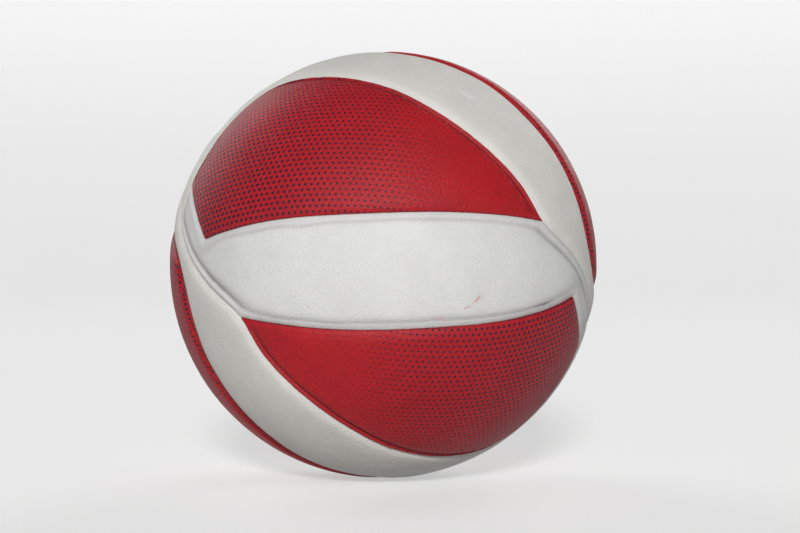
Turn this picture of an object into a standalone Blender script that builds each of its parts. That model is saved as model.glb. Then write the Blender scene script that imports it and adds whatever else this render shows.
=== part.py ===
"""A match volleyball: padded leather panels over a rubber layer, a thread winding and a bladder.

The centre of the ball is the origin, and +Y is the valve's axis. Twelve panels repeat by third and
half turns about a tilted pole: three long white ones, three middle white ones and six red ones.
"""

import math

import bmesh
import bpy
import numpy as np

# The layers from the outside inwards, in metres.
BALL_RADIUS = 0.105
COVER_THICKNESS = 0.0013
PAD_THICKNESS = 0.0014
RUBBER_THICKNESS = 0.0007
WINDING_THICKNESS = 0.0007
BLADDER_THICKNESS = 0.0010

# Clearances between the layers. The pads clear the corners of the rubber layer's flats.
COVER_CLEARANCE = 0.0003
PAD_CLEARANCE = 0.0008
LAYER_CLEARANCE = 0.0003

# A cover panel ends in a skirt that turns down into the seam, and its pad ends inside the skirt.
SEAM_GAP = 0.0007
SKIRT_WIDTH = 0.0036
SKIRT_DROP = 0.0017
PAD_EDGE_CLEARANCE = 0.0009

# The valve.
VALVE_STEM_RADIUS = 0.0055
VALVE_FLANGE_RADIUS = 0.011
VALVE_FLANGE_THICKNESS = 0.0012
VALVE_CORE_RADIUS = 0.003
VALVE_LIP_WIDTH = 0.001
VALVE_LIP_THICKNESS = 0.0012
NEEDLE_HOLE_RADIUS = 0.0009
NEEDLE_LEAD_IN = 0.0011
VALVE_RECESS = 0.0006
VALVE_CLEARANCE = 0.0003

# The pole leans from the vertical towards -X by this angle in degrees.
POLE_TILT_DEGREES = 65

# Seams of one third of the ball, as longitudes and latitudes about the pole in degrees.
# The edge of a long panel runs from beside the north pole to the south pole, and bends at a red panel's tip.
LONG_EDGE_DEGREES = (
    (-54, 69), (-10, 77.3), (38.6, 74.1), (67.7, 57), (59.8, 40.9),
    (51.4, 20), (44.7, 0), (41, -14), (37.8, -23.3), (34, -31.4),
    (34.8, -40), (38, -54), (44.9, -72.7), (53, -81.7), (0, -90),
)
# The edge between a middle panel and a red one.
MIDDLE_EDGE_DEGREES = ((-24, 54.8), (-1.7, 35.2), (9.1, 15.4), (19.3, -5.5), (33.9, -31.2))
# The blunt end of a red panel.
BLUNT_END_DEGREES = ((-8.9, 76.8), (-18.7, 64.3), (-23.6, 53.3))

# Counts of facets: along and across the panels, and round the turned pieces.
RED_STEPS = 12
TAIL_STEPS = 5
CORNER_STEPS = 1
ACROSS_STEPS = 4
SHELL_BANDS = 11
TURN_STEPS = 24
CURVE_POINTS = 400
RUN_ON_DEGREES = 8

THIRDS_DEGREES = (0, 120, 240)
NORTH = np.array((0.0, 0.0, 1.0))


def unit(vectors):
    return vectors / np.linalg.norm(vectors, axis=-1, keepdims=True)


def direction(places):
    """Unit vectors to places given by longitude and latitude."""
    longitude, latitude = np.radians(np.array(places, float)).T
    level = np.cos(latitude)
    return np.stack((level * np.cos(longitude), level * np.sin(longitude), np.sin(latitude)), axis=-1)


def seam(places):
    """A natural cubic spline through the places, laid on the unit sphere and run on straight at both ends."""
    knots = direction(places)
    last = len(knots) - 1
    steps = np.linalg.norm(np.diff(knots, axis=0), axis=1)
    along = np.concatenate(((0.0,), np.cumsum(steps)))
    system = np.eye(last + 1)
    bends = np.zeros_like(knots)
    for i in range(1, last):
        system[i, i - 1 : i + 2] = steps[i - 1], 2 * (steps[i - 1] + steps[i]), steps[i]
        bends[i] = 6 * ((knots[i + 1] - knots[i]) / steps[i] - (knots[i] - knots[i - 1]) / steps[i - 1])
    bends = np.linalg.solve(system, bends)
    at = np.linspace(0, along[-1], CURVE_POINTS)
    i = np.clip(np.searchsorted(along, at, side="right") - 1, 0, last - 1)
    width = steps[i][:, None]
    after = (at - along[i])[:, None] / width
    before = 1 - after
    sag = ((before**3 - before) * bends[i] + (after**3 - after) * bends[i + 1]) * width**2 / 6
    curve = unit(before * knots[i] + after * knots[i + 1] + sag)
    reach = math.tan(math.radians(RUN_ON_DEGREES))
    start = unit(curve[0] + reach * unit(curve[0] - curve[1]))
    end = unit(curve[-1] + reach * unit(curve[-1] - curve[-2]))
    return np.vstack((start, curve, end))


def shifted(curve, distance):
    """The curve moved sideways over the ball, to its left as seen from outside."""
    left = unit(np.cross(curve, np.gradient(curve, axis=0)))
    angle = distance / BALL_RADIUS
    return math.cos(angle) * curve + math.sin(angle) * left


def flipped(curve):
    """A half turn about the middle of a middle panel."""
    return curve * (1, -1, -1)


def turned(curve, degrees):
    """A turn about the pole."""
    c, s = math.cos(math.radians(degrees)), math.sin(math.radians(degrees))
    return curve @ np.array(((c, s, 0), (-s, c, 0), (0, 0, 1)))


def crossing(first, second, near):
    """The places along two curves where they cross, at the crossing nearest to a point."""
    first_planes = np.cross(first[:-1], first[1:])
    second_planes = np.cross(second[:-1], second[1:])
    of_second = first_planes @ second.T
    of_first = first @ second_planes.T
    crosses = (of_second[:, :-1] * of_second[:, 1:] < 0) & (of_first[:-1] * of_first[1:] < 0)
    i, j = np.nonzero(crosses & (first[:-1] @ second[:-1].T > 0))
    best = np.argmax(first[i] @ near)
    i, j = i[best], j[best]
    on_first = i + of_first[i, j] / (of_first[i, j] - of_first[i + 1, j])
    on_second = j + of_second[i, j] / (of_second[i, j] - of_second[i, j + 1])
    return on_first, on_second


def points_at(curve, places):
    """Points of a curve at places along it."""
    i = np.minimum(places.astype(int), len(curve) - 2)
    part = (places - i)[:, None]
    return unit((1 - part) * curve[i] + part * curve[i + 1])


def stretch(curve, start, end, steps):
    """Evenly spaced points of a curve from one place on it to another."""
    return points_at(curve, np.linspace(start, end, steps + 1))


def long_outline(inset):
    """The four sides of a long panel, drawn in from its seams: lower, upper, and the ends at the two poles.

    Its facets follow its neighbours' where the seam curves.
    """
    lower = shifted(LONG, inset)
    end = shifted(flipped(LONG), -inset)
    corner, end_corner = crossing(lower, end, LONG[1])
    tip, end_tip = crossing(turned(flipped(lower), 120), end, NORTH)
    stations = np.concatenate((
        np.linspace(corner, LONG_AT_BLUNT, CORNER_STEPS, endpoint=False),
        np.linspace(LONG_AT_BLUNT, LONG_AT_BAND, RED_STEPS, endpoint=False),
        np.linspace(LONG_AT_BAND, LONG_AT_TAIL, TAIL_STEPS, endpoint=False),
        np.linspace(LONG_AT_TAIL, tip, ACROSS_STEPS + 1),
    ))
    lower = points_at(lower, stations)
    end = stretch(end, end_corner, end_tip, ACROSS_STEPS)
    return lower, turned(flipped(lower), 120)[::-1], end, turned(flipped(end), 120)[::-1]


def middle_outline(inset):
    """The sides of a middle panel.

    Each long side is a hook's inner edge, then the band's edge, then a long panel's edge.
    """
    long_edge = shifted(LONG, -inset)
    band = shifted(MIDDLE, -inset)
    hook = shifted(BLUNT, -inset)
    hook_end, long_at_hook = crossing(hook, long_edge, BLUNT[0])
    hook_bend, band_start = crossing(hook, band, MIDDLE[0])
    band_end, long_at_band = crossing(band, long_edge, MIDDLE[-1])
    near_end, far_end = crossing(long_edge, flipped(long_edge), LONG[1])
    upper = np.vstack((
        stretch(hook, hook_end, hook_bend, ACROSS_STEPS)[:-1],
        stretch(band, band_start, band_end, RED_STEPS)[:-1],
        stretch(long_edge, long_at_band, far_end, TAIL_STEPS),
    ))
    end = stretch(long_edge, near_end, long_at_hook, ACROSS_STEPS)
    return flipped(upper)[::-1], upper, end, flipped(end)[::-1]


def red_outline(inset):
    """The sides of a red panel: by the middle panel, by the long panel, the blunt end and the sharp tip."""
    long_edge = shifted(LONG, -inset)
    band = shifted(MIDDLE, inset)
    blunt = shifted(BLUNT, inset)
    blunt_end, long_start = crossing(blunt, long_edge, BLUNT[0])
    blunt_start, band_start = crossing(blunt, band, MIDDLE[0])
    band_tip, long_tip = crossing(band, long_edge, MIDDLE[-1])
    lower = stretch(band, band_start, band_tip, RED_STEPS)
    return (
        lower,
        stretch(long_edge, long_start, long_tip, RED_STEPS),
        stretch(blunt, blunt_start, blunt_end, ACROSS_STEPS),
        np.repeat(lower[-1:], ACROSS_STEPS + 1, axis=0),
    )


def filled(lower, upper, start, end):
    """A Coons patch on the unit sphere between four sides."""
    u = np.linspace(0, 1, len(lower))[None, :, None]
    v = np.linspace(0, 1, len(start))[:, None, None]
    corners = (1 - v) * ((1 - u) * lower[0] + u * lower[-1]) + v * ((1 - u) * upper[0] + u * upper[-1])
    sides = (1 - v) * lower + v * upper + (1 - u) * start[:, None] + u * end[:, None]
    return unit(sides - corners)


def panel_mesh(name, field, rim=None):
    """A patch as a mesh, with a ring of faces from its border out to the rim where there is one."""
    rows, columns = field.shape[:2]
    index = np.arange(rows * columns).reshape(rows, columns)
    faces = np.stack((index[:-1, :-1], index[:-1, 1:], index[1:, 1:], index[1:, :-1]), axis=-1).reshape(-1, 4)
    points = field.reshape(-1, 3)
    if rim is not None:
        border = np.concatenate((index[0, :-1], index[:-1, -1], index[-1, :0:-1], index[:0:-1, 0]))
        lower, upper, start, end = rim
        outer = np.vstack((lower[:-1], end[:-1], upper[:0:-1], start[:0:-1]))
        outer_index = len(points) + np.arange(len(outer))
        ring = np.stack((outer_index, np.roll(outer_index, -1), np.roll(border, -1), border), axis=-1)
        points = np.vstack((points, outer))
        faces = np.vstack((faces, ring))
    mesh = bpy.data.meshes.new(name)
    mesh.from_pydata(points.tolist(), [], faces.tolist())
    welded = bmesh.new()
    welded.from_mesh(mesh)
    bmesh.ops.remove_doubles(welded, verts=welded.verts, dist=1e-6)
    welded.to_mesh(mesh)
    welded.free()
    mesh.shade_smooth()
    return mesh


def cover_mesh(name, outline):
    """The outer face of a cover panel: the crown over its pad and the skirt down into the seams."""
    crown = filled(*outline(SKIRT_WIDTH)) * BALL_RADIUS
    rim = [side * (BALL_RADIUS - SKIRT_DROP) for side in outline(SEAM_GAP / 2)]
    return panel_mesh(name, crown, rim)


def pad_mesh(name, outline):
    """The outer face of a foam pad."""
    return panel_mesh(name, filled(*outline(SKIRT_WIDTH + PAD_EDGE_CLEARANCE)) * PAD_OUTER)


def profile_mesh(name, points, cyclic):
    """A profile in the XZ plane for a turned piece."""
    mesh = bpy.data.meshes.new(name)
    edges = [(i, i + 1) for i in range(len(points) - 1)]
    if cyclic:
        edges.append((len(points) - 1, 0))
    mesh.from_pydata([(r, 0, z) for r, z in points], edges, [])
    return mesh


def arc(radius):
    """A layer's profile from the valve hole round to the far side, as (r, z) points."""
    angles = np.arange(1, SHELL_BANDS + 1) * math.pi / SHELL_BANDS
    angles = np.concatenate(((math.asin(VALVE_HOLE_RADIUS / radius),), angles))
    points = np.stack((radius * np.sin(angles), radius * np.cos(angles)), axis=-1)
    points[-1, 0] = 0
    return points


def add(name, mesh, look, degrees=(0, 0, 0)):
    """An object of the ball, turned about its centre and carried by the tilted pole."""
    colour, roughness = look
    if not mesh.materials:
        mesh.materials.append(None)
    item = bpy.data.objects.new(name, mesh)
    item.rotation_euler = [math.radians(angle) for angle in degrees]
    item.parent = pole
    ball.objects.link(item)
    material = bpy.data.materials.new(name)
    material.use_nodes = True
    shader = material.node_tree.nodes["Principled BSDF"]
    shader.inputs["Base Color"].default_value = (*colour, 1)
    shader.inputs["Roughness"].default_value = roughness
    shader.inputs["Metallic"].default_value = 0
    item.material_slots[0].link = "OBJECT"
    item.material_slots[0].material = material
    return item


def thicken(item, thickness):
    """Gives a panel its thickness inwards and splits its facets along their shorter diagonals."""
    shell = item.modifiers.new("thickness", "SOLIDIFY")
    shell.thickness = thickness
    shell.offset = -1
    flats = item.modifiers.new("flats", "TRIANGULATE")
    flats.quad_method = "SHORTEST_DIAGONAL"


def turn(item):
    screw = item.modifiers.new("turned", "SCREW")
    screw.steps = TURN_STEPS
    screw.render_steps = TURN_STEPS
    screw.use_merge_vertices = True
    screw.merge_threshold = 0.00001


def add_layer(name, outer_radius, thickness, look):
    """A closed round layer, open only at the valve hole."""
    profile = np.vstack((arc(outer_radius - thickness)[::-1], arc(outer_radius)))
    turn(add(name, profile_mesh(name, profile, False), look, VALVE_TURN_DEGREES))


for old in list(bpy.data.objects):
    bpy.data.objects.remove(old, do_unlink=True)

ball = bpy.data.collections.new("volleyball")
cutters = bpy.data.collections.new("cutters")
bpy.context.scene.collection.children.link(ball)
bpy.context.scene.collection.children.link(cutters)
cutters.hide_render = True

# The pole frame has the pole on Z and the middle of the first middle panel on X, which faces -Y.
pole = bpy.data.objects.new("pole", None)
pole.rotation_mode = "ZYX"
pole.rotation_euler = (0, -math.radians(POLE_TILT_DEGREES), -math.radians(90))
ball.objects.link(pole)

# Radii of the layers.
PAD_OUTER = BALL_RADIUS - COVER_THICKNESS - COVER_CLEARANCE
RUBBER_OUTER = PAD_OUTER - PAD_THICKNESS - PAD_CLEARANCE
WINDING_OUTER = RUBBER_OUTER - RUBBER_THICKNESS - LAYER_CLEARANCE
BLADDER_OUTER = WINDING_OUTER - WINDING_THICKNESS - LAYER_CLEARANCE
BLADDER_INNER = BLADDER_OUTER - BLADDER_THICKNESS
VALVE_HOLE_RADIUS = VALVE_STEM_RADIUS + VALVE_CLEARANCE
# The valve's axis lies through the middle of the second long panel, on the pole frame's -X.
VALVE_TURN_DEGREES = (0, -90, 0)
VALVED_THIRD = 1

LONG = seam(LONG_EDGE_DEGREES)
MIDDLE = seam(MIDDLE_EDGE_DEGREES)
BLUNT = seam(BLUNT_END_DEGREES)
# Where the other seams meet a long panel's edge.
LONG_AT_BLUNT = crossing(LONG, BLUNT, BLUNT[0])[0]
LONG_AT_BAND = crossing(LONG, MIDDLE, MIDDLE[-1])[0]
LONG_AT_TAIL = crossing(flipped(LONG), LONG, LONG[1])[0]

WHITE = ((0.78, 0.77, 0.74), 0.5)
RED = ((0.5, 0.03, 0.05), 0.5)
FOAM = ((0.86, 0.84, 0.78), 0.9)
BLACK_RUBBER = ((0.03, 0.03, 0.032), 0.7)
THREAD = ((0.8, 0.78, 0.72), 0.8)

# Cover panels and their pads.
kinds = (("long", long_outline, WHITE), ("middle", middle_outline, WHITE), ("red", red_outline, RED))
valved = []
for kind, outline, look in kinds:
    cover = cover_mesh("cover_" + kind, outline)
    pad = pad_mesh("pad_" + kind, outline)
    halves = (0, 180) if kind == "red" else (0,)
    number = 0
    for third, degrees in enumerate(THIRDS_DEGREES):
        for half in halves:
            number += 1
            for mesh, thickness, paint in ((cover, COVER_THICKNESS, look), (pad, PAD_THICKNESS, FOAM)):
                panel = add(f"{mesh.name}_{number}", mesh, paint, (half, 0, degrees))
                thicken(panel, thickness)
                if kind == "long" and third == VALVED_THIRD:
                    valved.append(panel)

# Round layers under the pads.
add_layer("rubber_layer", RUBBER_OUTER, RUBBER_THICKNESS, BLACK_RUBBER)
add_layer("thread_winding", WINDING_OUTER, WINDING_THICKNESS, THREAD)
add_layer("bladder", BLADDER_OUTER, BLADDER_THICKNESS, BLACK_RUBBER)

# Valve seat: a boss with a flange under the bladder, bored for the core, with a lip that holds the core in.
valve_top = BALL_RADIUS - VALVE_RECESS
bladder_r, bladder_z = arc(BLADDER_INNER).T[:, : SHELL_BANDS // 2]
flange_z = np.interp(VALVE_FLANGE_RADIUS, bladder_r, bladder_z) - LAYER_CLEARANCE
flange_root_z = bladder_z[0] - LAYER_CLEARANCE
flange_bottom = flange_z - VALVE_FLANGE_THICKNESS
bore_radius = VALVE_CORE_RADIUS + VALVE_CLEARANCE
lip_radius = bore_radius - VALVE_LIP_WIDTH
lip_top = flange_bottom + VALVE_LIP_THICKNESS
seat = profile_mesh("valve_seat", (
    (bore_radius, valve_top),
    (VALVE_STEM_RADIUS, valve_top),
    (VALVE_STEM_RADIUS, flange_root_z),
    (VALVE_FLANGE_RADIUS, flange_z),
    (VALVE_FLANGE_RADIUS, flange_bottom),
    (lip_radius, flange_bottom),
    (lip_radius, lip_top),
    (bore_radius, lip_top),
), True)
turn(add("valve_seat", seat, BLACK_RUBBER, VALVE_TURN_DEGREES))

# Valve core: a plug with a needle hole that opens out at the top.
core_bottom = lip_top + VALVE_CLEARANCE
core = profile_mesh("valve_core", (
    (NEEDLE_HOLE_RADIUS + NEEDLE_LEAD_IN, valve_top),
    (VALVE_CORE_RADIUS, valve_top),
    (VALVE_CORE_RADIUS, core_bottom),
    (NEEDLE_HOLE_RADIUS, core_bottom),
    (NEEDLE_HOLE_RADIUS, valve_top - NEEDLE_LEAD_IN),
), True)
turn(add("valve_core", core, BLACK_RUBBER, VALVE_TURN_DEGREES))

# The valve hole through the cover and the pad of one long panel.
drill = bpy.data.meshes.new("valve_hole")
bm = bmesh.new()
bmesh.ops.create_cone(
    bm,
    cap_ends=True,
    segments=TURN_STEPS,
    radius1=VALVE_HOLE_RADIUS,
    radius2=VALVE_HOLE_RADIUS,
    depth=2 * (BALL_RADIUS - BLADDER_INNER),
)
bmesh.ops.translate(bm, verts=bm.verts, vec=(0, 0, BALL_RADIUS))
bm.to_mesh(drill)
bm.free()
cutter = bpy.data.objects.new("valve_hole", drill)
cutter.rotation_euler = [math.radians(angle) for angle in VALVE_TURN_DEGREES]
cutter.parent = pole
cutter.hide_render = True
cutter.display_type = "WIRE"
cutters.objects.link(cutter)
for panel in valved:
    hole = panel.modifiers.new("valve_hole", "BOOLEAN")
    hole.operation = "DIFFERENCE"
    hole.solver = "EXACT"
    hole.object = cutter
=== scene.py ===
# %% [markdown]
# # A padded leather volleyball
#
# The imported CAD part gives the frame: its nodes, its size and its place. This lesson dresses it.
# Every visible piece is a surface worked out with numpy, laid where its CAD node lies, and every
# finish is a set of shader nodes.

# %% Load the frame
import math

import bmesh
import bpy
import numpy as np
from mathutils import Matrix, Vector


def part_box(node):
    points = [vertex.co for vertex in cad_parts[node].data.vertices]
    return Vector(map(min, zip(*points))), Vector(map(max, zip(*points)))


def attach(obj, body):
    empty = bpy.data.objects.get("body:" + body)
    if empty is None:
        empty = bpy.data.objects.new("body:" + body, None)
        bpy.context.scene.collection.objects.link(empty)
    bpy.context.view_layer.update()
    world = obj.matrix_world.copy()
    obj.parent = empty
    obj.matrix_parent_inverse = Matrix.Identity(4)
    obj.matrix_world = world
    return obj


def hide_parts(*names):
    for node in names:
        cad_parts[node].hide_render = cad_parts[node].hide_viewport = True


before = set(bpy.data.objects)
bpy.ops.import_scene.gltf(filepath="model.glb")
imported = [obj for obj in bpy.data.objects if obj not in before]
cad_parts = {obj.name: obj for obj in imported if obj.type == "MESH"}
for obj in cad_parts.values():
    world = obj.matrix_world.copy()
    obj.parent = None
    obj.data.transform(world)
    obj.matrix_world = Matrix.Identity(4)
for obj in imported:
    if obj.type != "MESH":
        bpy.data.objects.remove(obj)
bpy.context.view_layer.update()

# %% [markdown]
# ## Camera
#
# The picture was taken from about eleven ball radii away, almost level, with a long lens. A
# camera is aimed by the direction from it to its target, and a small roll is added after that.
# The lens shift moves the picture without turning the camera, so the ball keeps its round
# outline.

# %% Camera
ROLL = math.radians(-0.14)

scene = bpy.context.scene
scene.view_settings.view_transform = "Standard"
lens = bpy.data.cameras.new("camera")
lens.sensor_width = 36
lens.lens = 101.77
lens.shift_x = 0.0209
lens.shift_y = -0.0023
camera = bpy.data.objects.new("camera", lens)
camera.location = (-0.0622, -1.1155, 0.0320)
aim = (-Vector(camera.location)).to_track_quat("-Z", "Y").to_matrix().to_4x4()
camera.rotation_euler = (aim @ Matrix.Rotation(ROLL, 4, "Z")).to_euler()
scene.collection.objects.link(camera)
scene.camera = camera
print("camera", round(Vector(camera.location).length, 3), "m from the centre of the ball")

# %% [markdown]
# ## Seams as curves on a sphere
#
# The panels of this ball swirl round a tilted pole. Each seam passes through a few places given
# by longitude and latitude about that pole, joined by a natural cubic spline that is then pushed
# out onto the sphere. A spline is smooth in slope and in curvature, as a seam cut with a knife
# is.

# %% Seams
BALL = 0.105
LONG_EDGE = (
    (-54, 69), (-10, 77.3), (38.6, 74.1), (67.7, 57), (59.8, 40.9),
    (51.4, 20), (44.7, 0), (41, -14), (37.8, -23.3), (34, -31.4),
    (34.8, -40), (38, -54), (44.9, -72.7), (53, -81.7), (0, -90),
)
MIDDLE_EDGE = ((-24, 54.8), (-1.7, 35.2), (9.1, 15.4), (19.3, -5.5), (33.9, -31.2))
BLUNT_EDGE = ((-8.9, 76.8), (-18.7, 64.3), (-23.6, 53.3))
# Points of a spline and of the straight run at each end, and that run's reach in ball radii.
SEAM_POINTS = 1200
RUN_ON = 40
RUN_ON_REACH = 0.14


def unit(vectors):
    """Vectors divided by their lengths."""
    return vectors / np.linalg.norm(vectors, axis=-1, keepdims=True)


def seam(places):
    """A natural cubic spline on the unit sphere.

    Between two knots, the point is a straight mix of both plus a cubic sag whose size is set by
    the bends at the knots, and those solve one linear system. Both ends run on straight, so that
    seams can cross.
    """
    longitude, latitude = np.radians(np.array(places, float)).T
    level = np.cos(latitude)
    knots = (level * np.cos(longitude), level * np.sin(longitude), np.sin(latitude))
    knots = np.stack(knots, axis=-1)
    last = len(knots) - 1
    steps = np.linalg.norm(np.diff(knots, axis=0), axis=1)
    along = np.concatenate(((0.0,), np.cumsum(steps)))
    inner = np.arange(1, last)
    system = np.eye(last + 1)
    system[inner, inner - 1] = steps[:-1]
    system[inner, inner] = 2 * (steps[:-1] + steps[1:])
    system[inner, inner + 1] = steps[1:]
    bends = np.zeros_like(knots)
    bends[1:-1] = 6 * np.diff(np.diff(knots, axis=0) / steps[:, None], axis=0)
    bends = np.linalg.solve(system, bends)
    at = np.linspace(0, along[-1], SEAM_POINTS)
    i = np.clip(np.searchsorted(along, at, side="right") - 1, 0, last - 1)
    width = steps[i][:, None]
    after = (at - along[i])[:, None] / width
    before = 1 - after
    sag = ((before**3 - before) * bends[i] + (after**3 - after) * bends[i + 1]) * width**2 / 6
    curve = unit(before * knots[i] + after * knots[i + 1] + sag)
    reach = np.linspace(RUN_ON_REACH, 0, RUN_ON, endpoint=False)[:, None]
    start = unit(curve[0] + reach * unit(curve[0] - curve[1]))
    end = unit(curve[-1] + reach[::-1] * unit(curve[-1] - curve[-2]))
    return np.vstack((start, curve, end))


LONG, MIDDLE, BLUNT = seam(LONG_EDGE), seam(MIDDLE_EDGE), seam(BLUNT_EDGE)
print("seams of", len(LONG), "points")

# %% [markdown]
# ## Moving and crossing the seams
#
# One third of the ball gives the rest: a turn about the pole makes the other thirds, and a half
# turn about the middle of a middle panel swaps its two red neighbours. Panels end a hair short of
# the seam, so each seam is also moved sideways over the sphere, and panel corners are the places
# where two moved seams cross.

# %% Curve tools
FINE_POINTS = 3000
# The pole, and a third of a turn about it in degrees.
POLE = np.array((0, 0, 1.0))
THIRD = 120


def shifted(curve, distance):
    """The curve moved to its left over the ball.

    Each point turns by distance / radius towards its left side.
    """
    left = unit(np.cross(curve, np.gradient(curve, axis=0)))
    angle = distance / BALL
    return math.cos(angle) * curve + math.sin(angle) * left


def flipped(curve):
    """A half turn about the pole frame's X axis."""
    return curve * (1, -1, -1)


def turned(curve, degrees):
    """A turn about the pole, the pole frame's Z axis."""
    c, s = math.cos(math.radians(degrees)), math.sin(math.radians(degrees))
    return curve @ np.array(((c, s, 0), (-s, c, 0), (0, 0, 1)))


def crossing(first, second, near):
    """Where two curves cross, as places along both, at the crossing nearest to a point.

    Two arcs cross where each has its ends on both sides of the other's plane.
    """
    of_second = np.cross(first[:-1], first[1:]) @ second.T
    of_first = first @ np.cross(second[:-1], second[1:]).T
    crosses = (of_second[:, :-1] * of_second[:, 1:] < 0) & (of_first[:-1] * of_first[1:] < 0)
    i, j = np.nonzero(crosses & (first[:-1] @ second[:-1].T > 0))
    best = np.argmax(first[i] @ near)
    i, j = i[best], j[best]
    on_first = i + of_first[i, j] / (of_first[i, j] - of_first[i + 1, j])
    on_second = j + of_second[i, j] / (of_second[i, j] - of_second[i, j + 1])
    return on_first, on_second


def points_at(curve, places):
    """Points of a curve at fractional places, by straight mixing and a push onto the sphere."""
    i = np.clip(places.astype(int), 0, len(curve) - 2)
    part = (places - i)[:, None]
    return unit((1 - part) * curve[i] + part * curve[i + 1])


def crowded(share, crowd):
    """Even shares drawn towards 0 and 1: t minus crowd times sin(2 pi t) / (2 pi)."""
    return share - crowd * np.sin(2 * math.pi * share) / (2 * math.pi)


def stretch(curve, start, end, steps, crowd=0.5):
    """Points of a curve from one place to another, by arc length, crowded towards both ends."""
    fine = points_at(curve, np.linspace(start, end, FINE_POINTS))
    run = np.concatenate(((0.0,), np.cumsum(np.linalg.norm(np.diff(fine, axis=0), axis=1))))
    share = crowded(np.linspace(0, 1, steps + 1), crowd)
    return points_at(fine, np.interp(share * run[-1], run, np.arange(FINE_POINTS)))


meeting = crossing(MIDDLE, LONG, MIDDLE[-RUN_ON])
print("the middle edge meets the long edge at its point", round(meeting[1]))

# %% [markdown]
# ## Outlines of the three kinds of panel
#
# A long panel runs from pole to pole between two turned copies of one seam. A middle panel is a
# band with a hook at each end. A red panel is a leaf with a blunt end and a sharp tip. Each
# outline is given as four sides for the surface patch, and as the smooth stretches between its
# corners for measuring distances.

# %% Outlines
# Columns and rows of a panel's grid, and how far the rows crowd towards the seams.
GRID = (320, 60)
ROW_CROWD = 0.85
# Shares of a middle panel's columns that its hook and its tail get.
HOOK_SHARE = 0.17
TAIL_SHARE = 0.27


def long_outline(inset, columns, rows):
    """Four sides of a long panel: lower, upper, start and end. Each smooth stretch is one side."""
    lower = shifted(LONG, inset)
    end = shifted(flipped(LONG), -inset)
    corner, end_corner = crossing(lower, end, LONG[RUN_ON])
    tip, end_tip = crossing(turned(flipped(lower), THIRD), end, POLE)
    lower = stretch(lower, corner, tip, columns)
    end = stretch(end, end_corner, end_tip, rows, ROW_CROWD)
    upper, far = (turned(flipped(side), THIRD)[::-1] for side in (lower, end))
    return (lower, upper, end, far), (lower, upper, end, far)


def middle_outline(inset, columns, rows):
    """Four sides of a middle panel.

    Each long side is a hook's inner edge, the band's edge and a tail.
    """
    long_edge, band, hook = (shifted(curve, -inset) for curve in (LONG, MIDDLE, BLUNT))
    hook_end, long_at_hook = crossing(hook, long_edge, BLUNT[0])
    hook_bend, band_start = crossing(hook, band, MIDDLE[RUN_ON])
    band_end, long_at_band = crossing(band, long_edge, MIDDLE[-RUN_ON])
    near_end, far_end = crossing(long_edge, flipped(long_edge), LONG[RUN_ON])
    hook_steps, tail_steps = round(HOOK_SHARE * columns), round(TAIL_SHARE * columns)
    hook = stretch(hook, hook_end, hook_bend, hook_steps)
    band = stretch(band, band_start, band_end, columns - hook_steps - tail_steps)
    tail = stretch(long_edge, long_at_band, far_end, tail_steps)
    end = stretch(long_edge, near_end, long_at_hook, rows, ROW_CROWD)
    upper = np.vstack((hook[:-1], band[:-1], tail))
    half = (hook, band, tail, end)
    sides = (flipped(upper)[::-1], upper, end, flipped(end)[::-1])
    return sides, half + tuple(flipped(part) for part in half)


def red_outline(inset, columns, rows):
    """Four sides of a red panel, of which the last has shrunk to the sharp tip."""
    long_edge = shifted(LONG, -inset)
    band, blunt = shifted(MIDDLE, inset), shifted(BLUNT, inset)
    blunt_end, long_start = crossing(blunt, long_edge, BLUNT[0])
    blunt_start, band_start = crossing(blunt, band, MIDDLE[RUN_ON])
    band_tip, long_tip = crossing(band, long_edge, MIDDLE[-RUN_ON])
    lower = stretch(band, band_start, band_tip, columns)
    upper = stretch(long_edge, long_start, long_tip, columns)
    blunt = stretch(blunt, blunt_start, blunt_end, rows, ROW_CROWD)
    tip = np.repeat(lower[-1:], rows + 1, axis=0)
    return (lower, upper, blunt, tip), (lower, upper, blunt)


OUTLINES = {"long": long_outline, "middle": middle_outline, "red": red_outline}
print("outlines:", ", ".join(OUTLINES))

# %% [markdown]
# ## A patch between four sides
#
# A Coons patch fills the space between four sides: the mix of the lower and upper side, plus the
# mix of the start and end side, minus the flat mix of the four corners that both count. On a
# sphere, the result is pushed out to the radius again. It needs no trimming, so the panel's edge
# is the grid's own edge.

# %% Patch
# The power that rounds corners, and the shortest distance that counts, in metres.
ROUNDING = 1.8
TINY = 1e-7
# Parts in which distances are worked out, to save memory.
PARTS = 24


def patch(lower, upper, start, end):
    """Unit vectors on a grid: rows go along the short sides and columns along the long ones."""
    u = np.linspace(0, 1, len(lower))[None, :, None]
    v = crowded(np.linspace(0, 1, len(start)), ROW_CROWD)[:, None, None]
    low_corners = (1 - u) * lower[0] + u * lower[-1]
    high_corners = (1 - u) * upper[0] + u * upper[-1]
    corners = (1 - v) * low_corners + v * high_corners
    sides = (1 - v) * lower + v * upper + (1 - u) * start[:, None] + u * end[:, None]
    return unit(sides - corners)


def distance_to(points, line):
    """Distance of each point to a polyline, in metres on the ball.

    The nearest knot is found first, and then the foot of the perpendicular on the pieces before
    and after it.
    """
    parts = np.array_split(points, PARTS)
    nearest = np.concatenate([np.argmax(part @ line.T, axis=1) for part in parts])
    best = np.full(len(points), np.inf)
    for side in (-1, 0):
        i = np.clip(nearest + side, 0, len(line) - 2)
        edge = line[i + 1] - line[i]
        share = np.einsum("ij,ij->i", points - line[i], edge)
        share = share / np.einsum("ij,ij->i", edge, edge)
        foot = line[i] + np.clip(share, 0, 1)[:, None] * edge
        best = np.minimum(best, np.linalg.norm(points - foot, axis=1))
    return best * BALL


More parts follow.
